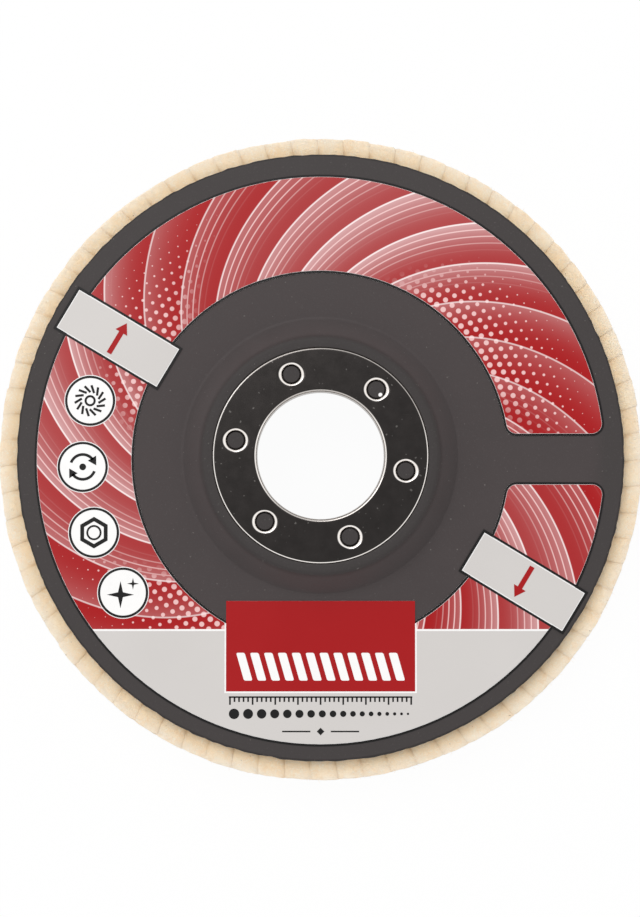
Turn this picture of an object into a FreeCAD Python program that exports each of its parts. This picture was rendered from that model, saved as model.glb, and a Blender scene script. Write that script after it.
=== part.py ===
import FreeCAD, Part
import math
import os

from FreeCAD import Vector

# Felt flap polishing disc for a 115 mm angle grinder, in millimetres.
# The origin is on the axis, on the face that seats on the grinder's flange.
# +Z points to the grinder. The felt hangs below the plate, towards the work.

# Disc
disc_diameter = 115.0          # over the felt flaps
bore_diameter = 22.23          # fits the grinder's spindle flange

# Backing plate, a moulded dish with a raised hub
felt_overhang = 3.5            # felt that shows beyond the plate
plate_thickness = 2.6
rear_face_depth = 5.5          # from the mounting face down to the labelled face
hub_thickness = 4.0            # from the mounting face to the face under the clamp nut
hub_land = 1.9                 # plastic round the steel ring on the hub's top
hub_slope_run = 3.9            # how far the hub's cone spreads down to the labelled face
hub_wall = 2.4                 # square to the hub's cone
hub_edge_round = 1.0
hub_foot_round = 0.8
plate_edge_round = 0.6
recess_mouth_bevel = 0.8

# Steel ring moulded into the hub, a flange with a drawn collar
ring_diameter = 37.4
ring_thickness = 1.0
ring_stands_proud = 0.15       # of the hub's top
collar_wall = 0.9
bore_edge_round = 0.46
ring_clearance = 0.02          # between the steel and the plastic round it

# Holes that key the ring to the plate, each filled by a peg of the plate
key_hole_count = 6
key_hole_diameter = 3.15
key_hole_shift = 0.14          # inwards from the middle of the flange's flat
key_hole_first_angle = -10.2
key_hole_bevel = 0.5
peg_depth = 0.35               # from the ring's top face down to the peg

# Adhesive bed between the plate and the roots of the flaps
bed_thickness = 0.5
bed_margin = 0.8               # bare plate outside the bed
bed_reach = 1.2                # bed that shows inside the flaps' inner ends
bead_height = 0.7              # of the glue pressed out along the bed's inner edge
bead_gap = 0.1                 # between that bead and the felt

# Felt flaps, laid like a fan and glued by their roots
flap_count = 75
flaps_per_node = 3
flap_length = 24.5             # along the disc's radius
flap_tilt = 38.0               # between a flap and the plate, in degrees
flap_stack_height = 12.1       # from the roots to the lowest tips
flap_seam = 0.04               # between neighbouring flaps
flap_corner_bevel = 0.8        # of the upright corners at the rim

# Label, a printed film in the form of an open ring
label_margin = 3.25            # bare plate outside the label
label_width = 17.6             # from its inner to its outer edge
label_shift = 0.5              # stuck on a little off centre, towards the panel
label_opening = 8.2            # bare stretch on the right
label_corner = 2.2
label_border = 0.45            # rim of the film outside the fields of colour
film_thickness = 0.12
ink_thickness = 0.04
print_gap = 0.3                # film left bare between the panel and the fields of colour
grey_height = 20.5             # of the grey field, from the label's edge up to the red
chord_line = 0.36              # white line between red and grey

# Panel at the bottom of the label
panel_width = 33.4
panel_margin = 9.7             # from the label's edge up to the panel
panel_hub_gap = 0.7            # between the panel and the rounding at the hub's foot

# Tabs with the arrows for the direction of rotation
tab_overhang = 1.4             # of the grey print past the label's inner and outer edge
tab_width = 7.5                # of the grey print
tab_border = 0.55              # rim of the film round the grey print
tab_angles = (149.2, 328.8)
arrow_length = 6.2
arrow_shaft_width = 0.9
arrow_head_width = 2.4
arrow_head_length = 1.9

# Round symbol fields, printed over the red
symbol_count = 4
symbol_diameter = 8.9
symbol_shift = 0.25            # outwards from the middle of the label
symbol_first_angle = 165.8
symbol_angle_step = 16.1

# Levels and radii that follow from the sizes above
disc_radius = disc_diameter / 2
plate_radius = disc_radius - felt_overhang
bore_radius = bore_diameter / 2
ring_radius = ring_diameter / 2
collar_radius = bore_radius + collar_wall
key_hole_radius = key_hole_diameter / 2
key_hole_circle_radius = (bore_radius + bore_edge_round + ring_radius) / 2 - key_hole_shift
hub_top_radius = ring_radius + hub_land
hub_foot_radius = hub_top_radius + hub_slope_run
hub_top = -ring_stands_proud
ring_seat = -ring_thickness
clamp_face = -hub_thickness
rear_face = -rear_face_depth
underside = rear_face - plate_thickness
root_plane = underside - bed_thickness
flap_inner_radius = disc_radius - flap_length
label_outer_radius = plate_radius - label_margin
label_inner_radius = label_outer_radius - label_width
label_middle_radius = label_outer_radius - label_width / 2
hub_slope = math.atan2(hub_top - rear_face, hub_slope_run)
hub_foot_end = hub_foot_radius + hub_foot_round * math.tan(hub_slope / 2)
chord_depth = label_outer_radius - grey_height
panel_top_depth = hub_foot_end + panel_hub_gap - label_shift
panel_bottom_depth = label_outer_radius - panel_margin
film_top = rear_face + film_thickness
ink_top = film_top + ink_thickness
pitch = 360.0 / flap_count
axis = Vector(0, 0, 1)
centre = Vector(0, 0, 0)
same_place = 0.001             # how near counts as the same place
round_steps = 2                # flats that stand for a rounded edge of a turned piece


def turned(points):
    """A solid turned about the axis from an outline of (radius, height) points."""
    outline = Part.makePolygon([Vector(r, 0, z) for r, z in points + points[:1]])
    return Part.Face(outline).revolve(centre, axis, 360)


def rounded(before, corner, after, radius):
    """Points of an outline that round one corner between its two neighbours."""
    corner = Vector(corner[0], 0, corner[1])
    back = (Vector(before[0], 0, before[1]) - corner).normalize()
    ahead = (Vector(after[0], 0, after[1]) - corner).normalize()
    half_angle = back.getAngle(ahead) / 2
    middle = corner + (back + ahead).normalize() * (radius / math.sin(half_angle))
    start = corner + back * (radius / math.tan(half_angle)) - middle
    normal = start.cross(corner - middle)
    sweep = 180.0 - math.degrees(2 * half_angle)
    points = []
    for step in range(round_steps + 1):
        spot = middle + FreeCAD.Rotation(normal, sweep * step / round_steps).multVec(start)
        points.append((spot.x, spot.z))
    return points


def turned_about_axis(shape, angle):
    """A copy of a shape, turned about the disc's axis."""
    copy = shape.copy()
    copy.rotate(centre, axis, angle)
    return copy


def recess_radius(height):
    """Radius of the nut recess at a height, one wall inside the hub's cone."""
    cone_radius = hub_top_radius + (hub_top - height) / math.tan(hub_slope)
    return cone_radius - hub_wall / math.sin(hub_slope)


def key_hole_centres():
    """Centres of the key holes on the mounting face."""
    spots = []
    for index in range(key_hole_count):
        angle = math.radians(key_hole_first_angle + index * 360.0 / key_hole_count)
        spots.append(Vector(math.cos(angle), math.sin(angle), 0) * key_hole_circle_radius)
    return spots


def backing_plate():
    """The moulded dish: hub, nut recess, seat of the ring and pegs."""
    bore = collar_radius + ring_clearance
    seat = ring_radius + ring_clearance
    hub_edge = (hub_top_radius, hub_top)
    hub_foot = (hub_foot_radius, rear_face)
    rim_top = (plate_radius, rear_face)
    rim_bottom = (plate_radius, underside)
    recess_floor = (recess_radius(clamp_face), clamp_face)
    mouth_height = underside + recess_mouth_bevel
    plate = turned(
        [(bore, clamp_face), (bore, ring_seat), (seat, ring_seat), (seat, hub_top)]
        + rounded((seat, hub_top), hub_edge, hub_foot, hub_edge_round)
        + rounded(hub_edge, hub_foot, rim_top, hub_foot_round)
        + rounded(hub_foot, rim_top, rim_bottom, plate_edge_round)
        + [rim_bottom]
        + [(recess_radius(underside) + recess_mouth_bevel, underside)]
        + [(recess_radius(mouth_height), mouth_height)]
        + [recess_floor]
    )
    peg_radius = key_hole_radius - ring_clearance
    peg_height = ring_thickness - peg_depth
    for spot in key_hole_centres():
        foot = spot + Vector(0, 0, ring_seat)
        plate = plate.fuse(Part.makeCylinder(peg_radius, peg_height, foot))
    return plate.removeSplitter()


def steel_ring():
    """The pressed ring: flat flange, drawn collar and sunk key holes."""
    bore_top = (bore_radius, 0.0)
    bore_bottom = (bore_radius, clamp_face)
    ring_edge = (ring_radius, 0.0)
    ring = turned(
        [bore_bottom, (collar_radius, clamp_face), (collar_radius, ring_seat)]
        + [(ring_radius, ring_seat), ring_edge]
        + rounded(ring_edge, bore_top, bore_bottom, bore_edge_round)
    )
    for spot in key_hole_centres():
        foot = spot + Vector(0, 0, ring_seat)
        ring = ring.cut(Part.makeCylinder(key_hole_radius, ring_thickness, foot))
    return ring.makeChamfer(key_hole_bevel, key_hole_rims(ring))


def key_hole_rims(ring):
    """The upper edges of the key holes in the ring's top face."""
    rims = []
    for edge in ring.Edges:
        if not isinstance(edge.Curve, Part.Circle):
            continue
        middle = edge.Curve.Center
        off_axis = math.hypot(middle.x, middle.y) > bore_radius
        if off_axis and abs(middle.z) < same_place:
            rims.append(edge)
    return rims


def adhesive_bed():
    """A flat bed of resin, with a bead pressed out along its inner edge."""
    inner = flap_inner_radius - bed_reach
    outer = plate_radius - bed_margin
    bead_outer = flap_inner_radius - bead_gap
    return turned([
        (inner, underside),
        (outer, underside),
        (outer, root_plane),
        (bead_outer, root_plane),
        (bead_outer, root_plane - bead_height),
    ])


# A flap is the space between two planes that meet at a point of the axis, at half
# the height of the stack. So each flap grows thicker outwards and all of them nest.
tilt = math.radians(flap_tilt)
half_pitch = math.radians(pitch / 2)
half_height = flap_stack_height / 2
meeting_height = root_plane - half_height
root_drift = half_height / math.tan(tilt)      # how far the root lies behind the middle
rim_half_thickness = disc_radius * math.sin(tilt) * math.sin(half_pitch)
flap_half_width = (half_height - rim_half_thickness * math.cos(tilt)) / math.sin(tilt)


def flap_corner(distance, side, at_root):
    """A corner of a flap's section, at a distance along its middle line."""
    lean = math.sin(tilt) * math.cos(half_pitch)
    reach = side * (distance * math.sin(tilt) * math.sin(half_pitch) - flap_seam / 2)
    if at_root:
        return Vector(distance, (reach - half_height * math.cos(tilt)) / lean, root_plane)
    slack = math.cos(tilt) / math.sin(tilt)
    across = (reach + flap_half_width * slack) / (lean + math.cos(tilt) * slack)
    drop = (flap_half_width - across * math.cos(tilt)) / math.sin(tilt)
    return Vector(distance, across, meeting_height - drop)


def flap_section(distance):
    """The four corners of a flap's section, in order round it."""
    order = ((-1, True), (1, True), (1, False), (-1, False))
    return [flap_corner(distance, side, at_root) for side, at_root in order]


def solid_between(near, far):
    """A solid with flat faces between two sections of as many corners."""
    loops = [near, far]
    for index in range(len(near)):
        after = (index + 1) % len(near)
        loops.append([near[index], near[after], far[after], far[index]])
    faces = [Part.Face(Part.makePolygon(loop + loop[:1])) for loop in loops]
    return Part.Solid(Part.Shell(faces))


def trimmed(solid, point, normal):
    """What is left of a solid behind a plane."""
    size = 2 * disc_diameter
    waste = Part.makeBox(size, size, size, Vector(-size / 2, -size / 2, 0))
    waste.Placement = FreeCAD.Placement(point, FreeCAD.Rotation(axis, normal))
    return solid.cut(waste)


def felt_flap():
    """One wedge of felt, its outer end cut in two flats that follow the rim."""
    flap = solid_between(flap_section(flap_inner_radius), flap_section(disc_radius))
    root_corner = root_drift + rim_half_thickness / math.sin(tilt)
    swing = math.asin(root_corner / disc_radius) / 2
    bevel_depth = flap_corner_bevel / math.sqrt(2)
    for half in (-1, 1):
        end_normal = Vector(math.cos(swing), half * math.sin(swing), 0)
        flap = trimmed(flap, Vector(disc_radius, 0, meeting_height), end_normal)
        for side in (-1, 1):
            beta = side * half_pitch
            rim_point = Vector(math.cos(beta), math.sin(beta), 0) * disc_radius
            lean = Vector(-math.sin(beta), math.cos(beta), 0) * math.sin(tilt)
            felt_normal = (lean + axis * math.cos(tilt)) * side
            normal = (end_normal + felt_normal).normalize()
            point = Vector(0, 0, meeting_height) + rim_point - normal * bevel_depth
            flap = trimmed(flap, point, normal)
    return flap.Solids[0]


def felt_flap_groups():
    """All flaps, in groups of neighbours."""
    flap = felt_flap()
    groups = []
    for first in range(0, flap_count, flaps_per_node):
        last = min(first + flaps_per_node, flap_count)
        groups.append([turned_about_axis(flap, index * pitch) for index in range(first, last)])
    return groups


def open_ring(inset, bottom, height):
    """The label's outline as a slab, drawn in by an inset on all sides."""
    outer = Part.makeCylinder(label_outer_radius - inset, height, Vector(0, 0, bottom))
    inner = Part.makeCylinder(label_inner_radius + inset, height, Vector(0, 0, bottom))
    opening_width = label_opening + 2 * inset
    opening_corner = Vector(0, -opening_width / 2, bottom)
    opening = Part.makeBox(label_outer_radius, opening_width, height, opening_corner)
    slab = outer.cut(inner).cut(opening)
    corners = []
    for edge in slab.Edges:
        ends = [vertex.Point for vertex in edge.Vertexes]
        if len(ends) == 2 and abs(ends[0].z - ends[1].z) > height / 2:
            if abs(abs(ends[0].y) - opening_width / 2) < same_place:
                corners.append(edge)
    return slab.makeFillet(label_corner - inset, corners)


def panel(grow, bottom, height):
    """The label's panel as a slab, grown on all sides."""
    corner = Vector(-panel_width / 2 - grow, -panel_bottom_depth - grow, bottom)
    length = panel_bottom_depth - panel_top_depth + 2 * grow
    return Part.makeBox(panel_width + 2 * grow, length, height, corner)


def tab(angle, grow, bottom, height):
    """An arrow tab as a slab, grown on all sides, its long side radial."""
    length = label_width + 2 * (tab_overhang + grow)
    width = tab_width + 2 * grow
    corner = Vector(label_middle_radius - length / 2, -width / 2, bottom)
    return turned_about_axis(Part.makeBox(length, width, height, corner), angle)


def direction_arrow(angle):
    """An arrow across a tab, pointing clockwise as seen from the grinder."""
    tail = arrow_length / 2
    neck = arrow_head_length - arrow_length / 2
    shaft = arrow_shaft_width / 2
    head = arrow_head_width / 2
    outline = [(-shaft, tail), (-shaft, neck), (-head, neck), (0, -tail)]
    outline += [(-x, y) for x, y in reversed(outline[:-1])]
    points = [Vector(label_middle_radius + x, y, ink_top) for x, y in outline]
    arrow = Part.Face(Part.makePolygon(points + points[:1])).extrude(axis * ink_thickness)
    return turned_about_axis(arrow, angle)


def symbol_disc(index):
    """A round symbol field, printed over the red."""
    spot = Vector(label_middle_radius + symbol_shift, 0, ink_top)
    disc = Part.makeCylinder(symbol_diameter / 2, ink_thickness, spot)
    return turned_about_axis(disc, symbol_first_angle + index * symbol_angle_step)


def label_film():
    """The film, die-cut with its panel and its tabs."""
    film = open_ring(0, rear_face, film_thickness)
    film = film.fuse(panel(0, rear_face, film_thickness))
    for angle in tab_angles:
        film = film.fuse(tab(angle, tab_border, rear_face, film_thickness))
    return film.removeSplitter()


def colour_field(above_chord):
    """The red or the grey field, inside the label's border."""
    field = open_ring(label_border, film_top, ink_thickness)
    span = 2 * label_outer_radius
    chord = -chord_depth + chord_line / 2 if above_chord else -chord_depth - chord_line / 2 - span
    side = Part.makeBox(2 * span, span, ink_thickness, Vector(-span, chord, film_top))
    field = field.common(side).cut(panel(print_gap, film_top, ink_thickness))
    for angle in tab_angles:
        field = field.cut(tab(angle, tab_border, film_top, ink_thickness))
    return field


def on_label(shapes):
    """The solids of label pieces, moved to where the label is stuck."""
    placed = []
    for shape in shapes:
        for solid in shape.Solids:
            copy = solid.copy()
            copy.translate(Vector(0, -label_shift, 0))
            placed.append(copy)
    return placed


# Nodes, each a list of solids
nodes = {
    "backing_plate": backing_plate().Solids,
    "steel_ring": steel_ring().Solids,
    "adhesive_bed": adhesive_bed().Solids,
    "label_film": on_label([label_film()]),
    "label_red_field": on_label([colour_field(True)]),
    "label_grey_field": on_label([colour_field(False)]),
    "label_panel": on_label([panel(0, film_top, ink_thickness)]),
    "arrow_tabs": on_label([tab(angle, 0, film_top, ink_thickness) for angle in tab_angles]),
    "direction_arrows": on_label([direction_arrow(angle) for angle in tab_angles]),
    "symbol_discs": on_label([symbol_disc(index) for index in range(symbol_count)]),
}
for number, group in enumerate(felt_flap_groups(), start=1):
    nodes[f"felt_flaps_{number:02d}"] = group

os.makedirs("parts", exist_ok=True)
for name, solids in nodes.items():
    shape = solids[0] if len(solids) == 1 else Part.makeCompound(solids)
    shape.exportStep(f"parts/{name}.step")
    print(name, len(solids), round(sum(solid.Volume for solid in solids), 2))
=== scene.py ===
import math
import random

import bmesh
import bpy
from mathutils import Matrix, Vector, noise


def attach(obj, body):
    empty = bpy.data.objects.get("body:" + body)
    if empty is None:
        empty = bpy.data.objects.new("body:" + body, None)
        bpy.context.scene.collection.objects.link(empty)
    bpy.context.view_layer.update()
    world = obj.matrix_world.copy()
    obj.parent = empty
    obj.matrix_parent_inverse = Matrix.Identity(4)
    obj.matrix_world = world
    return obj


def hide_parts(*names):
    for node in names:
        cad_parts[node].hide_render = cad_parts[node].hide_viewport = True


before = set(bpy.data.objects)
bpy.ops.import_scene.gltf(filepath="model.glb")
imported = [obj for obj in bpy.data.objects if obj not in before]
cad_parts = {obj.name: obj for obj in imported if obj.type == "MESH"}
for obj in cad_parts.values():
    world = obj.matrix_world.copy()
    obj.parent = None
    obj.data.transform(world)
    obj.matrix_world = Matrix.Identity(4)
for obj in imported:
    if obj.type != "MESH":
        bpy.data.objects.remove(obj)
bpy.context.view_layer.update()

mm = 0.001                       # every length below is in millimetres until a mesh is finished
upward = Vector((0, 0, 1))
weld = 0.0005                    # points nearer than this are one


def colour(red, green, blue):
    # a colour as seen on screen, 0 to 255, as the shader wants it
    def linear(part):
        part /= 255
        return part / 12.92 if part <= 0.04045 else ((part + 0.055) / 1.055) ** 2.4
    return (linear(red), linear(green), linear(blue), 1.0)


class Wire:
    # an output socket, so that shader maths reads as a plain sum
    def __init__(self, paint, socket):
        self.paint = paint
        self.socket = socket

    def math(self, operation, *values):
        return self.paint.node("ShaderNodeMath", {"operation": operation}, dict(enumerate(values)))

    def out(self, name):
        return Wire(self.paint, self.socket.node.outputs[name])

    def __add__(self, other):
        return self.math("ADD", self, other)

    def __sub__(self, other):
        return self.math("SUBTRACT", self, other)

    def __rsub__(self, other):
        return self.math("SUBTRACT", other, self)

    def __mul__(self, other):
        return self.math("MULTIPLY", self, other)

    def __truediv__(self, other):
        return self.math("DIVIDE", self, other)

    def __rtruediv__(self, other):
        return self.math("DIVIDE", other, self)

    def __pow__(self, other):
        return self.math("POWER", self, other)

    def __abs__(self):
        return self.math("ABSOLUTE", self)

    __radd__ = __add__


def length(across, along):
    return (across * across + along * along) ** 0.5


def either(first, second):
    # the larger of two masks
    return first.math("MAXIMUM", first, second)


class Paint:
    # the nodes of a material or of the world
    def __init__(self, owner, shader="Principled BSDF", **surface):
        owner.use_nodes = True
        self.owner = owner
        self.tree = owner.node_tree
        self.shader = self.tree.nodes[shader]
        self.surface(**surface)

    def feed(self, made, sockets):
        for name, value in sockets.items():
            if isinstance(value, Wire):
                self.tree.links.new(value.socket, made.inputs[name])
            else:
                made.inputs[name].default_value = value

    def node(self, kind, settings=None, sockets=None):
        made = self.tree.nodes.new(kind)
        for name, value in (settings or {}).items():
            setattr(made, name, value)
        self.feed(made, sockets or {})
        return Wire(self, made.outputs[0])

    def surface(self, **sockets):
        self.feed(self.shader, {name.replace("_", " "): value for name, value in sockets.items()})

    def place(self):
        return self.node("ShaderNodeTexCoord").out("Object")

    def axes(self, vector, unit=1.0):
        split = self.node("ShaderNodeSeparateXYZ", None, {"Vector": vector})
        return [split.out(name) * unit for name in "XYZ"]

    def places(self):
        # x, y and z in millimetres, and the distance from the disc's axis
        x, y, z = self.axes(self.place(), 1 / mm)
        return x, y, z, length(x, y)

    def noise(self, size, detail=2.0, roughness=0.5, vector=None, swirl=0.0):
        # soft noise from 0 to 1, with lumps about as large as size in millimetres
        return self.node("ShaderNodeTexNoise", None, {
            "Vector": vector or self.place(), "Scale": 1 / (size * mm), "Detail": detail,
            "Roughness": roughness, "Distortion": swirl,
        })

    def stretched(self, along, across):
        # object coordinates pressed together along the three axes
        return self.node("ShaderNodeMapping", None, {"Vector": self.place(), "Scale": (across, along, along)})

    def step(self, value, low, high):
        # runs smoothly from 0 at low to 1 at high
        return self.node("ShaderNodeMapRange", {"interpolation_type": "SMOOTHSTEP"},
                         {"Value": value, "From Min": low, "From Max": high})

    def mix(self, factor, first, second):
        mixed = self.node("ShaderNodeMix", {"data_type": "RGBA"}, {0: factor, 6: first, 7: second})
        return Wire(self, mixed.socket.node.outputs[2])

    def bump(self, height, distance, strength=1.0, normal=None):
        sockets = {"Height": height, "Distance": distance * mm, "Strength": strength}
        if normal:
            sockets["Normal"] = normal
        return self.node("ShaderNodeBump", None, sockets)

    def specks(self, size, rarity):
        # ragged flecks where fine noise peaks; nearer to 1 they are fewer
        return self.step(self.noise(size, 1.5, 0.45), rarity, rarity + 0.05)

    def hairs(self, size, width, swirl):
        # thin wandering lines, where a soft noise crosses its middle
        return self.step(abs(self.noise(size, 2.0, 0.6, swirl=swirl) - 0.5), width, 0.0)


def newPaint(name, **surface):
    return Paint(bpy.data.materials.new(name), **surface)


def makeObject(name, bm, material):
    # turns a bmesh in millimetres into an object of the scene
    bmesh.ops.scale(bm, vec=(mm, mm, mm), verts=bm.verts)
    made = bpy.data.meshes.new(name)
    bm.to_mesh(made)
    bm.free()
    made.materials.append(material)
    piece = bpy.data.objects.new(name, made)
    bpy.context.scene.collection.objects.link(piece)
    return piece


def finish(name, bm, material, replaced=(), sharp=35.0, weighted=False):
    # a piece of the disc, which rides on its one body
    piece = makeObject(name, bm, material)
    if "custom_normal" in piece.data.attributes:
        piece.data.attributes.remove(piece.data.attributes["custom_normal"])
    piece.data.shade_smooth()
    piece.data.set_sharp_from_angle(angle=math.radians(sharp))
    if weighted:
        flats = piece.modifiers.new("flats", "WEIGHTED_NORMAL")
        flats.keep_sharp = True
    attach(piece, "root")
    if replaced:
        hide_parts(*replaced)


def dress(node, material):
    # gives a node of the frame its finish
    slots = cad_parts[node].data.materials
    slots.clear()
    slots.append(material)


def polyline(bm, points, closed=False):
    # points are (radius, height)
    verts = [bm.verts.new((radius, 0, height)) for radius, height in points]
    ends = verts[1:] + verts[:1] if closed else verts[1:]
    for start, end in zip(verts, ends):
        bm.edges.new((start, end))
    return verts


def roundCorners(bm, corners):
    # corners pairs a vertex of an outline with its radius; the cut on each side makes a true arc
    for corner, radius in corners:
        before, after = [(edge.other_vert(corner).co - corner.co).normalized() for edge in corner.link_edges]
        half = before.angle(after) / 2
        bmesh.ops.bevel(bm, geom=[corner], offset=radius / math.tan(half), offset_type="OFFSET", segments=5,
                        profile=0.5, affect="VERTICES", material=-1)


def spinRound(bm, steps):
    # turns an outline once round the disc's axis
    bmesh.ops.spin(bm, geom=bm.verts[:] + bm.edges[:], cent=(0, 0, 0), axis=upward, angle=math.tau,
                   steps=steps, use_merge=True, use_duplicate=False)
    bmesh.ops.remove_doubles(bm, verts=bm.verts, dist=weld)
    bmesh.ops.recalc_face_normals(bm, faces=bm.faces)


def join(bm, part):
    # adds one bmesh to another
    made = bpy.data.meshes.new("part")
    part.to_mesh(made)
    part.free()
    bm.from_mesh(made)
    bpy.data.meshes.remove(made)


def connected(start):
    # every vertex joined to this one
    found, waiting = {start}, [start]
    while waiting:
        for edge in waiting.pop().link_edges:
            for vert in edge.verts:
                if vert not in found:
                    found.add(vert)
                    waiting.append(vert)
    return list(found)


def facesOf(verts):
    return list({face for vert in verts for face in vert.link_faces})


def turnedAbout(angle, vector):
    return Matrix.Rotation(angle, 3, "Z") @ vector


def polar(reach, angle, centre=Vector((0, 0, 0))):
    return centre + turnedAbout(angle, Vector((reach, 0, 0)))


# the moulded plate
plate = {
    "steps": 420,
    "rim": 54.0, "rimRound": 0.6, "rear": -5.5, "underside": -8.1,
    "hubTop": -0.15, "hubTopRadius": 20.6, "hubRound": 1.0,
    "hubFootRadius": 24.5, "footRound": 0.8,
    "seatRadius": 18.78, "seatRound": 0.22, "seat": -1.0,
    "collarHole": 12.035, "clampFace": -4.0,
    "recessRadius": 20.44, "recessMouth": 23.4, "mouthRound": 0.8,
    "ragged": 0.15, "raggedBand": 0.9,
    "pegRadius": 1.45, "pegTop": -0.4, "pegRound": 0.12, "pegRoot": 0.05, "pegSides": 40,
    "rimShade": (48, 51), "paintedGlint": (10.4, 10.55), "paintedGlintEdge": (0.42, 0.26),
}
keyHoles = {
    "count": 6, "circle": 15.0, "first": math.radians(-10.2), "radius": 1.575, "roll": 0.7, "steps": 64,
    "narrow": 0.78, "widen": 0.5, "uneven": 0.2,
}


def keyHoleCentres():
    pitch = math.tau / keyHoles["count"]
    angles = [keyHoles["first"] + index * pitch for index in range(keyHoles["count"])]
    return [polar(keyHoles["circle"], angle) for angle in angles]


def mouldedPlastic():
    paint = newPaint("mouldedPlastic", Specular_IOR_Level=0.3)
    x, y, _, reach = paint.places()
    top, foot, rim = plate["hubTopRadius"], plate["hubFootRadius"], plate["rim"]
    mottle = paint.noise(7, 3, 0.6)
    grain = paint.noise(0.35, 3, 0.7)
    hubTop = paint.step(reach, top + 0.8, top - 0.2)
    # the hub's sloping cone is painted lighter: painted light that makes up for the shade its steep slope
    # gets
    paintedConeLight = paint.step(reach, top, top + 1) * paint.step(reach, foot + 0.5, foot - 0.5)
    # a dark line along the plate's rounded rim edge: painted shade
    paintedRimShade = paint.step(reach, rim - 0.55, rim - 0.2)
    # a near-white spot on one peg: a painted glint
    paintedGlint = length(x - plate["paintedGlint"][0], y - plate["paintedGlint"][1])
    shade = paint.mix(mottle, colour(57, 50, 50), colour(67, 60, 60))
    shade = paint.mix(hubTop * 0.6, shade, colour(42, 40, 39))
    shade = paint.mix(paintedConeLight * 0.17, shade, colour(104, 99, 99))
    shade = paint.mix(paint.step(reach, *plate["rimShade"]) * 0.5, shade, colour(50, 48, 47))
    shade = paint.mix(paintedRimShade * 0.7, shade, colour(26, 23, 21))
    shade = paint.mix(paint.step(grain, 0.55, 0.8) * 0.3, shade, colour(92, 89, 88))
    shade = paint.mix(paint.specks(0.6, 0.735) * 0.35, shade, colour(132, 128, 124))
    shade = paint.mix(paint.step(paintedGlint, *plate["paintedGlintEdge"]), shade, colour(250, 248, 246))
    paint.surface(
        Base_Color=shade,
        Roughness=0.54 + mottle * 0.16,
        Normal=paint.bump(grain, 0.05, 0.5, paint.bump(mottle, 0.12, 0.4)),
    )
    return paint.owner


def buildPlate(material):
    bm = bmesh.new()
    size = plate
    outline = polyline(bm, [
        (size["seatRadius"], size["hubTop"]), (size["seatRadius"], size["seat"]),
        (size["collarHole"], size["seat"]), (size["collarHole"], size["clampFace"]),
        (size["recessRadius"], size["clampFace"]), (size["recessMouth"], size["underside"]),
        (size["rim"], size["underside"]), (size["rim"], size["rear"]),
        (size["hubFootRadius"], size["rear"]), (size["hubTopRadius"], size["hubTop"]),
    ], closed=True)
    roundCorners(bm, [
        (outline[0], size["seatRound"]), (outline[5], size["mouthRound"]), (outline[6], size["rimRound"]),
        (outline[7], size["rimRound"]), (outline[8], size["footRound"]), (outline[9], size["hubRound"]),
    ])
    spinRound(bm, size["steps"])
    for vert in bm.verts:
        flat = vert.co.xy.to_3d()
        edge = max(0.0, (flat.length - size["rim"] + size["raggedBand"]) / size["raggedBand"])
        wave = noise.noise(flat * 0.5) + 0.6 * noise.noise(flat * 1.3 + upward * 7)
        vert.co.xy *= 1 + edge * wave * size["ragged"] / flat.length
    for spot in keyHoleCentres():
        addPeg(bm, spot)
    finish("backingPlate", bm, material, ["backing_plate"], weighted=True)


def addPeg(bm, spot):
    # the plate's own plastic, moulded up into a key hole of the ring
    size = plate
    depth = size["pegTop"] - size["seat"] + size["pegRoot"]
    peg = bmesh.ops.create_cone(bm, cap_ends=True, segments=size["pegSides"], radius1=size["pegRadius"],
                                radius2=size["pegRadius"], depth=depth)["verts"]
    bmesh.ops.translate(bm, vec=spot + upward * (size["pegTop"] - depth / 2), verts=peg)
    crown = [edge for edge in bm.edges
             if all(vert in peg and vert.co.z > size["pegTop"] - 0.01 for vert in edge.verts)]
    bmesh.ops.bevel(bm, geom=crown, offset=size["pegRound"], offset_type="OFFSET", segments=3, profile=0.5,
                    affect="EDGES", material=-1)


# the pressed steel ring
ring = {
    "steps": 240,
    "bore": 11.115, "boreRound": 0.46, "collar": 12.015, "radius": 18.76, "edgeRound": 0.36,
    "top": 0.0, "seat": -1.0, "foot": -4.0, "leadIn": 0.12,
    "footInside": 0.18, "footOutside": 0.12, "underLip": 0.05,
    "upperShadeRim": (17.2, 18.0), "boreShadeRim": (12.4, 11.9),
}


def darkSteel():
    # near black on the flats; where the steel turns over, a painted highlight near white, and on the upright
    # walls a painted dimmer grey-brown reflection, each picked by the surface's tilt
    paint = newPaint("darkSteel", Metallic=1.0)
    facing = paint.axes(paint.node("ShaderNodeTexCoord").out("Normal"))[2]
    x, y, _, reach = paint.places()
    turned = paint.step(abs(facing), 0.985, 0.93)
    upright = paint.step(abs(facing), 0.75, 0.4)
    patches = paint.noise(2.6, 4, 0.65)
    scratches = paint.noise(0.5, 3, 0.6, paint.stretched(1.0, 0.08))
    flat = paint.mix(patches, colour(41, 39, 38), colour(53, 50, 49))
    flat = paint.mix(paint.step(scratches, 0.66, 0.8) * 0.25, flat, colour(100, 96, 92))
    flat = paint.mix(paint.specks(0.8, 0.7) * 0.4, flat, colour(128, 125, 122))
    # the bright outer line is painted darker towards the upper side: painted shade
    paintedUpperShade = paint.step(y + x * 0.25, 5, 14) * paint.step(reach, *ring["upperShadeRim"]) * 0.6
    # the bright rolled bore edge is painted darker at top and bottom: painted shade
    paintedBoreShade = paint.step(abs(y), 4, 10) * paint.step(reach, *ring["boreShadeRim"]) * 0.5
    # near white on the rolled edges: a painted highlight
    bright = paint.mix(patches, colour(255, 252, 248), colour(240, 232, 225))
    bright = paint.mix(paintedUpperShade + paintedBoreShade, bright, colour(120, 112, 106))
    # grey-brown on the upright walls: a painted dimmer reflection
    wall = paint.mix(scratches, colour(78, 68, 60), colour(150, 136, 124))
    paint.surface(
        Base_Color=paint.mix(upright, paint.mix(turned, flat, bright), wall),
        Roughness=0.17 + patches * 0.14,
        Normal=paint.bump(paint.noise(0.8, 3, 0.6), 0.004, 0.5),
    )
    return paint.owner


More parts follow.
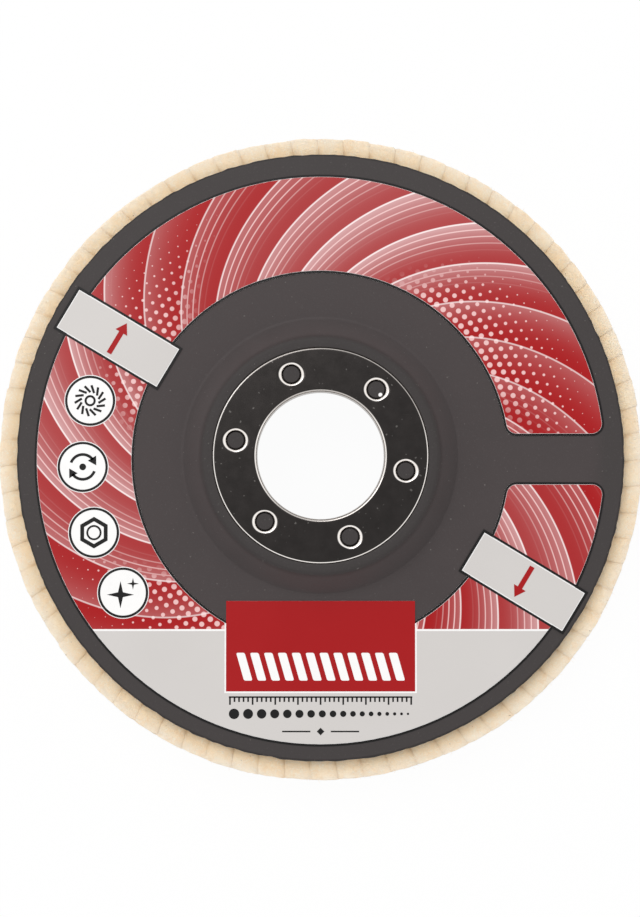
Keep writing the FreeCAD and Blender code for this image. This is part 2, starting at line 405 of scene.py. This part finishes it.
def keyHoleWall(bm, spot):
    # rolled rim and wall of one key hole; the outline is turned about the hole's own centre
    part = bmesh.new()
    hole, roll = keyHoles["radius"], keyHoles["roll"]
    outline = polyline(part, [
        (hole + roll + ring["leadIn"], ring["top"]), (hole + roll, ring["top"]),
        (hole, ring["top"]), (hole, ring["seat"]),
    ])
    roundCorners(part, [(outline[2], roll)])
    spinRound(part, keyHoles["steps"])
    for vert in part.verts:
        # the punch left each rim wider on two sides, so its bright line swells there
        side = vert.co.xy.normalized().to_3d()
        swell = keyHoles["narrow"] + abs(side.x) ** 3 * keyHoles["widen"]
        swell += noise.noise(side * 1.3 + spot) * keyHoles["uneven"]
        vert.co.xy = side.xy * (hole + (vert.co.xy.length - hole) * swell)
    bmesh.ops.translate(part, vec=spot, verts=part.verts)
    join(bm, part)


def buildRing(material):
    bm = bmesh.new()
    size = ring
    boreFlat = size["bore"] + size["boreRound"]
    inside = polyline(bm, [
        (boreFlat + size["leadIn"], size["top"]), (boreFlat, size["top"]), (size["bore"], size["top"]),
        (size["bore"], size["foot"]), (size["collar"], size["foot"]), (size["collar"], size["seat"]),
    ])
    outerFlat = size["radius"] - size["edgeRound"]
    outside = polyline(bm, [
        (size["radius"] - size["underLip"], size["seat"]), (size["radius"], size["seat"]),
        (size["radius"], size["top"]), (outerFlat, size["top"]), (outerFlat - size["leadIn"], size["top"]),
    ])
    roundCorners(bm, [
        (inside[2], size["boreRound"]), (inside[3], size["footInside"]), (inside[4], size["footOutside"]),
        (outside[2], size["edgeRound"]),
    ])
    spinRound(bm, size["steps"])
    for spot in keyHoleCentres():
        keyHoleWall(bm, spot)
    for height in (size["top"], size["seat"]):
        loops = [edge for edge in bm.edges
                 if edge.is_boundary and all(abs(vert.co.z - height) < 0.001 for vert in edge.verts)]
        bmesh.ops.triangle_fill(bm, use_beauty=True, use_dissolve=False, edges=loops)
    bmesh.ops.recalc_face_normals(bm, faces=bm.faces)
    finish("steelRing", bm, material, ["steel_ring"], weighted=True)


# the resin that holds the flaps
resin = {
    "steps": 420,
    "inner": 31.9, "beadOuter": 32.95, "beadFoot": -9.25, "outer": 53.45, "top": -8.12, "bottom": -8.62,
    "beadRound": 0.22, "lipRound": 0.1, "outerRound": 0.2,
    "waver": 0.168, "sag": 0.2, "spill": 0.9,
}


def amberResin():
    paint = newPaint("amberResin", Coat_Weight=0.4)
    cloud = paint.noise(2.4, 4, 0.6)
    shade = paint.mix(cloud, colour(52, 30, 20), colour(108, 66, 34))
    paint.surface(Base_Color=shade, Roughness=0.22 + cloud * 0.2, Normal=paint.bump(cloud, 0.15, 0.5))
    return paint.owner


def buildResin(material):
    bm = bmesh.new()
    size = resin
    outline = polyline(bm, [
        (size["inner"], size["top"]), (size["beadOuter"], size["beadFoot"]),
        (size["beadOuter"], size["bottom"]), (size["outer"], size["bottom"]), (size["outer"], size["top"]),
    ], closed=True)
    roundCorners(bm, [(outline[1], size["beadRound"]), (outline[0], size["lipRound"]),
                      (outline[3], size["outerRound"]), (outline[4], size["outerRound"])])
    spinRound(bm, size["steps"])
    for vert in bm.verts:
        reach = vert.co.xy.length
        wave = noise.noise(vert.co.xy.to_3d() * 0.35) + 0.8 * noise.noise(vert.co.xy.to_3d() * 1.1)
        if reach > size["outer"] - 1:
            vert.co.xy *= 1 + wave * size["spill"] / reach
        elif reach < size["beadOuter"] - 0.05:
            vert.co.xy *= 1 - wave * size["waver"] / reach
            vert.co.z -= max(0.0, wave) * size["sag"] * (size["top"] - vert.co.z)
    finish("resinBed", bm, material, ["adhesive_bed"])


# the felt flaps
felt = {
    "count": 75, "perNode": 3, "tilt": math.radians(38.0),
    "inner": 33.0, "rim": 57.66, "rootPlane": -8.6, "stackHeight": 12.1, "halfWidth": 7.93,
    "seam": 0.02, "cuts": (28, 20, 9),
    "rimCorner": 0.4, "edge": 0.13, "tipEdge": 0.5, "nearRim": 3.0,
    "rimCrown": 0.09, "rootSwell": 0.14, "glueEnd": (54.2, 0.8), "roundFrom": (45, 10),
    "longer": 0.1, "lowSide": 0.2, "swing": 0.12, "lift": (-0.1, 0.15),
    "lumps": 0.12, "fuzz": 0.06, "rest": -20.66,
    "paleOut": (55.2, 57.9), "paleUp": (-11.5, -9.2), "plateShadeIn": (56.6, 54.2), "plateShadeUp": (-10.8, -9.0),
    "seamShadeIn": (56.4, 54.6),
    "seed": 20,
}
fibre = {"count": 60, "length": 0.7, "radius": 0.02, "joints": 3, "sunk": 0.05, "plateEdge": 54.5}
felt["halfPitch"] = math.pi / felt["count"]
felt["meeting"] = felt["rootPlane"] - felt["stackHeight"] / 2


def creamFelt():
    paint = newPaint("creamFelt", Roughness=0.96, Sheen_Weight=0.3, Sheen_Roughness=0.55,
                     Specular_IOR_Level=0.15, Subsurface_Weight=0.15,
                     Subsurface_Radius=(1.0, 0.85, 0.7), Subsurface_Scale=0.6 * mm)
    seam = paint.node("ShaderNodeAttribute", {"attribute_name": "seam"}).out("Fac")
    own = paint.node("ShaderNodeAttribute", {"attribute_name": "own"}).out("Fac")
    _, _, z, reach = paint.places()
    # the felt's outer top edge is painted paler: painted light where the fuzzy rim catches light
    pale = paint.step(reach, *felt["paleOut"]) * paint.step(z, *felt["paleUp"])
    # the felt just beside the plate's edge is painted darker and warmer: painted shade under the plate's step
    paintedPlateShade = paint.step(reach, *felt["plateShadeIn"]) * paint.step(z, *felt["plateShadeUp"])
    # along every seam a slight tan tint, and nearer the plate painted shade in the gaps between flaps
    seamTintAndShade = seam * (0.12 + paint.step(reach, *felt["seamShadeIn"]) * 0.5)
    clouds = paint.noise(4.5, 3, 0.55)
    lumps = paint.noise(1.3, 4, 0.62)
    fuzz = paint.noise(0.22, 4, 0.75)
    hairs = paint.hairs(1.5, 0.035, 1.6)
    finer = paint.hairs(0.8, 0.05, 2.4)
    shade = paint.mix(own, colour(252, 226, 189), colour(255, 233, 201))
    shade = paint.mix(pale * 0.6, shade, colour(254, 243, 229))
    shade = paint.mix(paint.step(clouds, 0.42, 0.75) * 0.5, shade, colour(255, 220, 176))
    shade = paint.mix(paint.step(lumps, 0.5, 0.76) * 0.4, shade, colour(244, 207, 160))
    shade = paint.mix(hairs * 0.4, shade, colour(255, 251, 240))
    shade = paint.mix(finer * 0.15, shade, colour(226, 192, 148))
    shade = paint.mix(paintedPlateShade * 0.15, shade, colour(240, 202, 152))
    shade = paint.mix(seamTintAndShade, shade, colour(206, 168, 120))
    shade = paint.mix(paint.specks(0.55, 0.77) * 0.6, shade, colour(120, 92, 68))
    height = fuzz * 0.5 + hairs * 0.35 + finer * 0.2 + lumps * 0.9
    paint.surface(Base_Color=shade, Normal=paint.bump(height, 0.22, 0.6))
    return paint.owner


def flapPoint(middle, out, down, across):
    # out along the disc's radius, down from root to tip, across from -1 to 1 through the thickness
    angle = middle + across * felt["halfPitch"]
    outward = turnedAbout(angle, Vector((1, 0, 0)))
    slope = turnedAbout(angle, Vector((0, math.cos(felt["tilt"]), 0))) - upward * math.sin(felt["tilt"])
    return upward * felt["meeting"] + outward * out + slope * down


def flapEnds(out, across):
    # how far the root and the square-cut tip lie from the middle line, at a distance out
    turn = across * felt["halfPitch"]
    lean = math.cos(felt["tilt"])
    root = -(felt["rootPlane"] - felt["meeting"]) / math.sin(felt["tilt"])
    tip = (felt["halfWidth"] - out * lean * math.sin(turn)) / (lean * lean * math.cos(turn) + 1 - lean * lean)
    return root, tip


def ramp(value):
    # value held between 0 and 1
    return max(0.0, min(1.0, value))


def roundedBox(point, half, radius):
    # moves a point of a box's skin onto the skin with rounded edges
    core = Vector([max(-h + r, min(h - r, p)) for p, h, r in zip(point, half, radius)])
    off = Vector([(p - c) / r for p, c, r in zip(point, core, radius)])
    if off.length < 1e-6:
        return point
    off.normalize()
    return Vector([c + o * r for c, o, r in zip(core, off, radius)])


def buildFlap(index, material, dice):
    bm = bmesh.new()
    size = felt
    bmesh.ops.create_cube(bm, size=2)
    for axis, cuts in enumerate(size["cuts"]):
        runs = [edge for edge in bm.edges if abs((edge.verts[0].co - edge.verts[1].co)[axis]) > 0.01]
        bmesh.ops.subdivide_edges(bm, edges=runs, cuts=cuts, use_grid_fill=True)
    seam = bm.verts.layers.float.new("seam")
    own = bm.verts.layers.float.new("own")
    middle = index * 2 * size["halfPitch"]
    rim = size["rim"] + dice.uniform(-1, 1) * size["longer"] - math.sin(middle) * size["lowSide"]
    halfOut = (rim - size["inner"]) / 2
    swing = dice.uniform(-size["swing"], size["swing"])
    shade = dice.random()
    lift = dice.uniform(*size["lift"])
    shift = Vector((index * 7.3, index * 3.1, index * 5.7))
    for vert in bm.verts:
        along, down, across = [math.sin(part * math.pi / 2) for part in vert.co]
        out = size["inner"] + halfOut * (1 + along)
        half = out * size["halfPitch"] * math.sin(size["tilt"]) - size["seam"]
        nearRim = max(0.0, 1 - (rim - out) / size["nearRim"])
        root, tip = flapEnds(out, 0)
        halfDown = (tip - root) / 2
        loose = nearRim * ramp((down + 0.9) / 0.7)      # glued tight at the root, open at the rim
        soft = (size["rimCorner"], size["edge"] if down < 0 else size["tipEdge"],
                min(half * 0.8, size["edge"] + (size["rimCorner"] - size["edge"]) * loose))
        skin = Vector((along * halfOut, down * halfDown, across * half))
        skin = roundedBox(skin, (halfOut, halfDown, half), soft)
        out = size["inner"] + halfOut + skin.x
        across = skin.z / half
        down = skin.y / halfDown
        root, tip = flapEnds(out, across)
        drop = (root + tip) / 2 + down * (tip - root) / 2
        lumps = noise.noise(vert.co * 2.0 + shift) * size["lumps"]
        fuzz = noise.noise(vert.co * 9.0 + shift) * size["fuzz"]
        swell = size["rootSwell"] * (1 - across * across)
        if along > 0.995:
            out += size["rimCrown"] * (1 - across * across) * (1 - 0.6 * down * down) + lumps + fuzz
        if down < -0.98:
            glueEnd, fade = size["glueEnd"]
            drop -= (swell + lift) * ramp((out - glueEnd) / fade)
        if down > 0.98:
            drop += swell * 0.6 + lumps * 1.5 - 0.1
        out += (roundReach(out, drop) - out) * ramp((out - size["roundFrom"][0]) / size["roundFrom"][1])
        lean = 1 + 0.3 * nearRim * swing * (1 - abs(across))
        vert.co = flapPoint(middle, out, drop, across * lean) + Vector((0, 0, lumps * 0.3))
        # how near a point lies to the flap's sides; the felt's paint uses it for the seam tint and painted
        # seam shade
        vert[seam] = abs(across) ** 5
    bmesh.ops.recalc_face_normals(bm, faces=bm.faces)
    addFibres(bm, middle, dice)
    for vert in bm.verts:
        vert[own] = shade
        vert.co.z = max(vert.co.z, size["rest"])        # the disc rests on its flaps
    node = f"felt_flaps_{index // size['perNode'] + 1:02d}"
    finish(f"feltFlap_{index + 1:02d}", bm, material, [node], sharp=80)


def roundReach(out, drop):
    # how far out a point lies when the flap's end follows the round rim
    aside = drop * math.cos(felt["tilt"])
    return math.sqrt(max(0.0, out * out - aside ** 2))


def addFibres(bm, middle, dice):
    # loose hairs that stand off the rim end, the tip and the root's rim
    bm.normal_update()
    outward = polar(1, middle)
    shown = [vert for vert in bm.verts if vert.normal.dot(outward) > 0.5 or vert.normal.z < -0.55
             or (vert.normal.z > 0.5 and vert.co.xy.length > fibre["plateEdge"])]
    hairs = bmesh.new()
    for root in dice.sample(shown, fibre["count"]):
        lean = root.normal + Vector([dice.uniform(-0.9, 0.9) for _ in range(3)])
        step = lean.normalized() * fibre["length"] * dice.uniform(0.5, 1.3) / fibre["joints"]
        curl = Vector([dice.uniform(-1, 1) for _ in range(3)]) * step.length * 0.5
        strand = bmesh.ops.create_circle(hairs, segments=3, radius=fibre["radius"])["verts"]
        bmesh.ops.rotate(hairs, matrix=step.to_track_quat("Z", "Y").to_matrix(), verts=strand)
        bmesh.ops.translate(hairs, vec=root.co - root.normal * fibre["sunk"], verts=strand)
        for _ in range(fibre["joints"]):
            sides = list({edge for vert in strand for edge in vert.link_edges
                          if edge.is_wire or edge.is_boundary})
            grown = bmesh.ops.extrude_edge_only(hairs, edges=sides)["geom"]
            strand = [item for item in grown if isinstance(item, bmesh.types.BMVert)]
            bmesh.ops.translate(hairs, vec=step, verts=strand)
            step = step + curl
        tip = (strand[0].co + strand[1].co + strand[2].co) / 3
        bmesh.ops.pointmerge(hairs, verts=strand, merge_co=tip)
    bmesh.ops.recalc_face_normals(hairs, faces=hairs.faces)
    join(bm, hairs)


def buildFlaps(material):
    dice = random.Random(felt["seed"])
    for index in range(felt["count"]):
        buildFlap(index, material, dice)


# the printed label
label = {
    "centre": Vector((0, -0.5, 0)), "middle": 41.95,
    "film": -5.38, "ink": -5.34, "raised": -5.30, "lineThick": 0.012, "sunk": 0.01,
    "outline": 0.4,
    "tabAngles": (math.radians(149.2), math.radians(328.8)), "tabSize": (20.4, 7.5), "tabBorder": 0.2,
    "symbols": 4, "symbolRadius": 4.45, "symbolLine": 0.42, "symbolOut": 42.2, "halo": 0.14,
    "symbolFirst": math.radians(165.8), "symbolStep": math.radians(16.1),
}


def filmPaint(name, roughness=0.4):
    # every print keeps the film's faint ripple
    paint = newPaint(name, Roughness=roughness, Specular_IOR_Level=0.14)
    paint.surface(Normal=paint.bump(paint.noise(9, 2), 0.03, 0.3))
    return paint


def filmWhite():
    paint = filmPaint("filmWhite")
    paint.surface(Base_Color=paint.mix(paint.noise(1.2, 3), colour(240, 239, 238), colour(247, 246, 245)))
    return paint.owner


def printBlack():
    paint = newPaint("printBlack", Roughness=0.45, Specular_IOR_Level=0.2)
    paint.surface(Base_Color=paint.mix(paint.noise(1.5, 3), colour(7, 6, 6), colour(15, 14, 14)))
    return paint.owner


def printGrey():
    paint = filmPaint("printGrey", 0.42)
    paint.surface(Base_Color=paint.mix(paint.noise(14, 3), colour(202, 198, 195), colour(208, 204, 201)))
    return paint.owner


def printRedPlain():
    paint = filmPaint("printRedPlain")
    paint.surface(Base_Color=paint.mix(paint.noise(16, 3), colour(158, 17, 21), colour(165, 25, 28)))
    return paint.owner


# the print on the red field; angles are in degrees, and a lean is degrees for each millimetre outwards
pattern = {
    "blades": 26, "lean": 1.5, "bladeEdge": 0.26,
    "grooves": 156, "groove": 0.2,
    "dotColumns": 150, "dotLean": 0.75, "dotRows": 1.6, "dotRadius": 0.5, "dotFade": 10,
}


def printRedPattern():
    # overlapping blades that sweep round the disc like its flaps, with dots that shrink towards the rim
    paint = filmPaint("printRedPattern")
    x, y, _ = paint.axes(paint.place(), 1 / mm)
    x = x - label["centre"].x
    y = y - label["centre"].y
    reach = length(x, y)
    turn = y.math("ARCTAN2", y, x) * math.degrees(1)
    outward = reach - label["middle"]
    leaning = turn + outward * pattern["lean"]

    def sector(middle, half, soft):
        # 1 within half degrees of a middle line that leans as the blades do
        off = abs(turn.math("WRAP", leaning - middle, 180.0, -180.0))
        return paint.step(off, half + soft, half - soft)

    def bladePhase(count, shift=0.0):
        # runs from 0 to 1 over each of count blades
        phase = leaning * (count / 360) + 2 * count + shift
        return phase.math("FRACT", phase)

    def edges(count, width):
        # lines where one blade ends and the next begins
        spacing = (360 / count) / ((math.degrees(1) / reach) ** 2 + pattern["lean"] ** 2) ** 0.5
        off = abs(bladePhase(count, 0.5) - 0.5) * spacing
        return paint.step(off, width * 0.75, width * 0.3)

    def dots(count, radius):
        # round dots in staggered rows
        rows = reach / pattern["dotRows"]
        row = rows.math("FLOOR", rows) * pattern["dotRows"] - label["middle"]
        columns = (turn + row * pattern["dotLean"]) * (count / 360) + 2 * count
        across = (columns.math("FRACT", columns) - 0.5) * reach * (math.tau / count)
        along = (rows.math("FRACT", rows) - 0.5) * pattern["dotRows"]
        return paint.step(length(across, along) - radius, 0.06, -0.06)

    blade = bladePhase(pattern["blades"])
    glow = either(either(sector(76, 22, 26), sector(176, 20, 24) * 0.9), sector(-30, 14, 20) * 0.8)
    dotted = either(either(sector(28, 24, 8), sector(140, 16, 8)), sector(220, 14, 6))
    dotRadius = paint.step(outward, pattern["dotFade"], -pattern["dotFade"]) * pattern["dotRadius"]
    grooves = edges(pattern["grooves"], pattern["groove"]) * paint.step(blade, 0.25, 0.8)
    sheens = blade ** 2.2 * (glow * 0.5 + 0.17) + glow * 0.1
    fine = either(dots(pattern["dotColumns"], dotRadius) * dotted, grooves * (1 - dotted))
    bold = edges(pattern["blades"], pattern["bladeEdge"]) * (glow * 0.4 + 0.6)
    shade = paint.mix(paint.noise(16, 3), colour(158, 15, 19), colour(166, 23, 26))
    shade = paint.mix(sheens, shade, colour(226, 192, 192))
    shade = paint.mix(fine * 0.8, shade, colour(244, 206, 204))
    shade = paint.mix(bold * 0.9, shade, colour(250, 236, 235))
    paint.surface(Base_Color=shade)
    return paint.owner


def thicken(bm, faces, under, over=None):
    # turns flat faces into a thin printed layer that sinks a little into the level under it
    for vert in {vert for face in faces for vert in face.verts}:
        vert.co.z = label[under] - label["sunk"]
    grown = bmesh.ops.extrude_face_region(bm, geom=faces)["geom"]
    for vert in (item for item in grown if isinstance(item, bmesh.types.BMVert)):
        vert.co.z = label[over or under] + label["lineThick"]


def finishPrint(name, bm, material):
    bmesh.ops.recalc_face_normals(bm, faces=bm.faces)
    finish(name, bm, material)


def rectangle(bm, centre, size, angle=0.0, shear=0.0):
    # a flat face in the label's plane
    made = bmesh.ops.create_grid(bm, x_segments=1, y_segments=1, size=0.5)["verts"]
    for vert in made:
        vert.co = Vector((vert.co.x * size[0] + vert.co.y * shear, vert.co.y * size[1], 0))
    bmesh.ops.rotate(bm, matrix=Matrix.Rotation(angle, 3, "Z"), verts=made)
    bmesh.ops.translate(bm, vec=centre, verts=made)
    return facesOf(made)


def polygon(bm, centre, radius, sides, angle=0.0, waist=1.0):
    # a flat face with its corners on a circle, every second one drawn in to the waist
    made = bmesh.ops.create_circle(bm, cap_ends=True, segments=sides, radius=radius)["verts"]
    for vert in made[1::2]:
        vert.co *= waist
    bmesh.ops.rotate(bm, matrix=Matrix.Rotation(angle, 3, "Z"), verts=made)
    bmesh.ops.translate(bm, vec=centre, verts=made)
    return facesOf(made)


def band(bm, centre, inner, outer, start=0.0, turn=math.tau, steps=64):
    # a flat ring, or a part of one
    whole = turn == math.tau
    edge = [bm.verts.new(polar(reach, start)) for reach in (inner, outer)]
    line = bm.edges.new(edge)
    bmesh.ops.spin(bm, geom=edge + [line], cent=(0, 0, 0), axis=upward, angle=turn, steps=steps,
                   use_merge=whole, use_duplicate=False)
    made = connected(edge[0])
    if whole:
        bmesh.ops.remove_doubles(bm, verts=made, dist=weld)
        made = [vert for vert in made if vert.is_valid]
    bmesh.ops.translate(bm, vec=centre, verts=made)
    return facesOf(made)


def frameRound(bm, centre, size, angle, gap, width):
    # a flat rectangular line, gap outside a rectangle of this size
    faces = rectangle(bm, centre, [side + 2 * (gap + width) for side in size], angle)
    inset = bmesh.ops.inset_region(bm, faces=faces, thickness=width, use_boundary=True,
                                   use_even_offset=True)["faces"]
    bmesh.ops.delete(bm, geom=faces, context="FACES_ONLY")
    return inset


def topOf(node):
    # the upper faces of a label node, as a bmesh in millimetres
    bm = bmesh.new()
    bm.from_mesh(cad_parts[node].data)
    bmesh.ops.scale(bm, vec=(1 / mm,) * 3, verts=bm.verts)
    bmesh.ops.remove_doubles(bm, verts=bm.verts, dist=weld)
    others = [face for face in bm.faces if face.normal.z < 0.9]
    bmesh.ops.delete(bm, geom=others, context="FACES")
    return bm


def buildHalos(material):
    # the pale rim of the arrows and of the round signs
    bm = topOf("direction_arrows")
    line = bmesh.ops.inset_region(bm, faces=bm.faces[:], thickness=label["halo"], use_boundary=True,
                                  use_outset=True, use_even_offset=True)["faces"]
    bmesh.ops.delete(bm, geom=[face for face in bm.faces if face not in line], context="FACES")
    for index in range(label["symbols"]):
        line += band(bm, symbolCentre(index), label["symbolRadius"], label["symbolRadius"] + label["halo"])
    thicken(bm, line, "ink")
    finishPrint("labelHalos", bm, material)


def buildOutlines(material):
    # the black line inside the film's edge and round each tab
    bm = topOf("label_film")
    top = bm.faces[:]
    line = bmesh.ops.inset_region(bm, faces=top, thickness=label["outline"], use_boundary=True,
                                  use_even_offset=True)["faces"]
    bmesh.ops.delete(bm, geom=top, context="FACES")
    thicken(bm, line, "film")
    for angle in label["tabAngles"]:
        centre = polar(label["middle"], angle, label["centre"])
        faces = frameRound(bm, centre, label["tabSize"], angle, label["tabBorder"], label["outline"])
        thicken(bm, faces, "film", "ink")
    finishPrint("labelOutlines", bm, material)


def symbolCentre(index):
    angle = label["symbolFirst"] + index * label["symbolStep"]
    return polar(label["symbolOut"], angle, label["centre"])


# four plain signs: a fan of flaps, two turning arrows, a nut and a sparkle
signs = {
    "fanHub": (0.6, 1.0), "fanFlaps": 14, "flapOut": 2.1, "flapSize": (1.5, 0.42), "flapLean": 0.55,
    "arrowBand": (1.95, 2.45), "arrowOut": 2.2, "arrowStarts": (math.radians(35), math.radians(215)),
    "arrowTurn": math.radians(125), "arrowLead": math.radians(4), "arrowHead": 1.0, "arrowDot": 0.6,
    "nut": (2.0, 2.8), "nutAngle": math.radians(30), "nutBore": (1.0, 1.35),
    "sparkles": ((-0.45, -0.35, 2.4), (1.75, 1.6, 1.05)), "sparkleWaist": 0.26,
}


def buildSymbols(material):
    bm = bmesh.new()
    fan, arrows, nut, sparkle = [symbolCentre(index) for index in range(label["symbols"])]
    faces = []
    for centre in (fan, arrows, nut, sparkle):
        faces += band(bm, centre, label["symbolRadius"] - label["symbolLine"], label["symbolRadius"])
    faces += band(bm, fan, *signs["fanHub"])
    for index in range(signs["fanFlaps"]):
        angle = index * math.tau / signs["fanFlaps"]
        place = polar(signs["flapOut"], angle, fan)
        faces += rectangle(bm, place, signs["flapSize"], angle + signs["flapLean"])
    for start in signs["arrowStarts"]:
        tip = start - signs["arrowLead"]
        faces += band(bm, arrows, *signs["arrowBand"], start, signs["arrowTurn"], 24)
        faces += polygon(bm, polar(signs["arrowOut"], tip, arrows), signs["arrowHead"], 3, tip - math.pi)
    faces += polygon(bm, arrows, signs["arrowDot"], 32)
    faces += band(bm, nut, *signs["nut"], signs["nutAngle"], steps=6)
    faces += band(bm, nut, *signs["nutBore"])
    for across, up, size in signs["sparkles"]:
        faces += polygon(bm, sparkle + Vector((across, up, 0)), size, 8, waist=signs["sparkleWaist"])
    thicken(bm, faces, "raised")
    finishPrint("labelSymbols", bm, material)


# a row of leaning flaps on the panel, and under it a scale and a row of dots from coarse to fine
emblem = {
    "flaps": 12, "flapPitch": 2.45, "flapSize": (1.5, 4.9), "flapShear": -1.4, "flapRound": 0.3,
    "flapsAt": -37.2,
    "scaleSize": (32.4, 0.28), "scaleAt": -42.55,
    "marks": 41, "markPitch": 0.8, "markWidth": 0.3, "markShort": 0.8, "markTall": 1.3, "marksAt": -42.6,
    "dots": 18, "dotRadius": 0.92, "dotShrinks": 0.042, "dotGap": 0.68, "dotsAt": -45.5,
    "ruleSize": (5.0, 0.26), "ruleAcross": 4.3, "ruleAt": -48.6, "lozenge": 0.95,
}


def buildEmblem(material):
    bm = bmesh.new()
    size = emblem
    for index in range(size["flaps"]):
        across = (index - (size["flaps"] - 1) / 2) * size["flapPitch"]
        rectangle(bm, Vector((across, size["flapsAt"], 0)), size["flapSize"], shear=size["flapShear"])
    bmesh.ops.bevel(bm, geom=bm.verts[:], offset=size["flapRound"], segments=4, profile=0.5,
                    affect="VERTICES", material=-1)
    thicken(bm, bm.faces[:], "ink")
    finishPrint("panelEmblem", bm, material)


def buildRules(material):
    bm = bmesh.new()
    size = emblem
    faces = rectangle(bm, Vector((0, size["scaleAt"], 0)), size["scaleSize"])
    for index in range(size["marks"]):
        across = (index - (size["marks"] - 1) / 2) * size["markPitch"]
        tall = size["markTall"] if index % 5 == 0 else size["markShort"]
        faces += rectangle(bm, Vector((across, size["marksAt"] - tall / 2, 0)), (size["markWidth"], tall))
    across = -size["scaleSize"][0] / 2
    for index in range(size["dots"]):
        radius = size["dotRadius"] - size["dotShrinks"] * index
        faces += polygon(bm, Vector((across + radius, size["dotsAt"], 0)), radius, 32)
        across += 2 * radius + size["dotGap"]
    for side in (-1, 1):
        faces += rectangle(bm, Vector((side * size["ruleAcross"], size["ruleAt"], 0)), size["ruleSize"])
    faces += rectangle(bm, Vector((0, size["ruleAt"], 0)), (size["lozenge"],) * 2, math.radians(45))
    thicken(bm, faces, "ink")
    finishPrint("panelRules", bm, material)


# floor, light and camera
studio = {
    "floor": -20.68, "floorHalf": 1500.0, "floorGlow": 0.96,
    "ambient": 0.76,
    "key": Vector((-260, 420, 900)), "keySize": 620.0, "keyPower": 4.6,
}
camera = {
    "height": 228.0, "elevation": math.radians(88.6), "focal": 74.0, "sensor": 36.0,
    "frameWidth": 640, "frameHeight": 917, "boreAt": (320.6, 455.4), "scale": 5.771,
}


def seenDirectly(paint):
    # 1 for what the camera sees, also in a mirror or through glass
    path = paint.node("ShaderNodeLightPath")
    mirrored = either(path.out("Is Glossy Ray"), path.out("Is Transmission Ray"))
    return either(path.out("Is Camera Ray"), mirrored)


def buildStudio():
    paint = newPaint("paleFloor", Roughness=0.9)
    paint.surface(Base_Color=paint.mix(paint.noise(90, 2), colour(238, 238, 238), colour(244, 244, 244)))
    glow = paint.node("ShaderNodeEmission", None, {"Color": (1, 1, 1, 1), "Strength": 1.0})
    blend = paint.node("ShaderNodeMixShader", None, {
        0: seenDirectly(paint) * studio["floorGlow"], 1: Wire(paint, paint.shader.outputs[0]), 2: glow,
    })
    paint.feed(paint.tree.nodes["Material Output"], {"Surface": blend})
    bm = bmesh.new()
    bmesh.ops.create_grid(bm, x_segments=1, y_segments=1, size=studio["floorHalf"])
    bmesh.ops.translate(bm, vec=upward * studio["floor"], verts=bm.verts)
    floor = makeObject("floor", bm, paint.owner)

    sky = Paint(bpy.data.worlds.new("studio"), "Background", Color=(1, 1, 1, 1))
    sky.surface(Strength=seenDirectly(sky) * (1 - studio["ambient"]) + studio["ambient"])
    bpy.context.scene.world = sky.owner

    lamp = bpy.data.lights.new("softbox", "AREA")
    lamp.size = studio["keySize"] * mm
    lamp.energy = studio["keyPower"]
    key = bpy.data.objects.new("softbox", lamp)
    key.location = studio["key"] * mm
    key.rotation_euler = (-studio["key"]).to_track_quat("-Z", "Y").to_euler()
    bpy.context.scene.collection.objects.link(key)


def buildCamera():
    lens = bpy.data.cameras.new("camera")
    lens.sensor_fit = "HORIZONTAL"
    lens.sensor_width = camera["sensor"]
    lens.lens = camera["focal"]
    eye = bpy.data.objects.new("camera", lens)
    bpy.context.scene.collection.objects.link(eye)
    away = Vector((0, -math.cos(camera["elevation"]), math.sin(camera["elevation"])))
    right = Vector((1, 0, 0))
    above = away.cross(right)
    boreX, boreY = camera["boreAt"]
    target = right * (camera["frameWidth"] / 2 - boreX) + above * (boreY - camera["frameHeight"] / 2)
    eye.location = (target / camera["scale"] + away * camera["height"]) * mm
    eye.rotation_euler = away.to_track_quat("Z", "Y").to_euler()
    bpy.context.scene.camera = eye


print("finishes")
plasticFinish = mouldedPlastic()
whiteFinish = filmWhite()
blackFinish = printBlack()
greyFinish = printGrey()
redFinish = printRedPlain()

print("plate, ring and resin")
buildPlate(plasticFinish)
buildRing(darkSteel())
buildResin(amberResin())

print("label")
dress("label_film", whiteFinish)
dress("label_red_field", printRedPattern())
dress("label_grey_field", greyFinish)
dress("label_panel", redFinish)
dress("arrow_tabs", greyFinish)
dress("direction_arrows", redFinish)
dress("symbol_discs", whiteFinish)
buildOutlines(blackFinish)
buildHalos(whiteFinish)
buildSymbols(blackFinish)
buildEmblem(whiteFinish)
buildRules(blackFinish)

print("felt flaps")
buildFlaps(creamFelt())

print("studio and camera")
buildStudio()
buildCamera()
bpy.context.scene.view_settings.view_transform = "Standard"
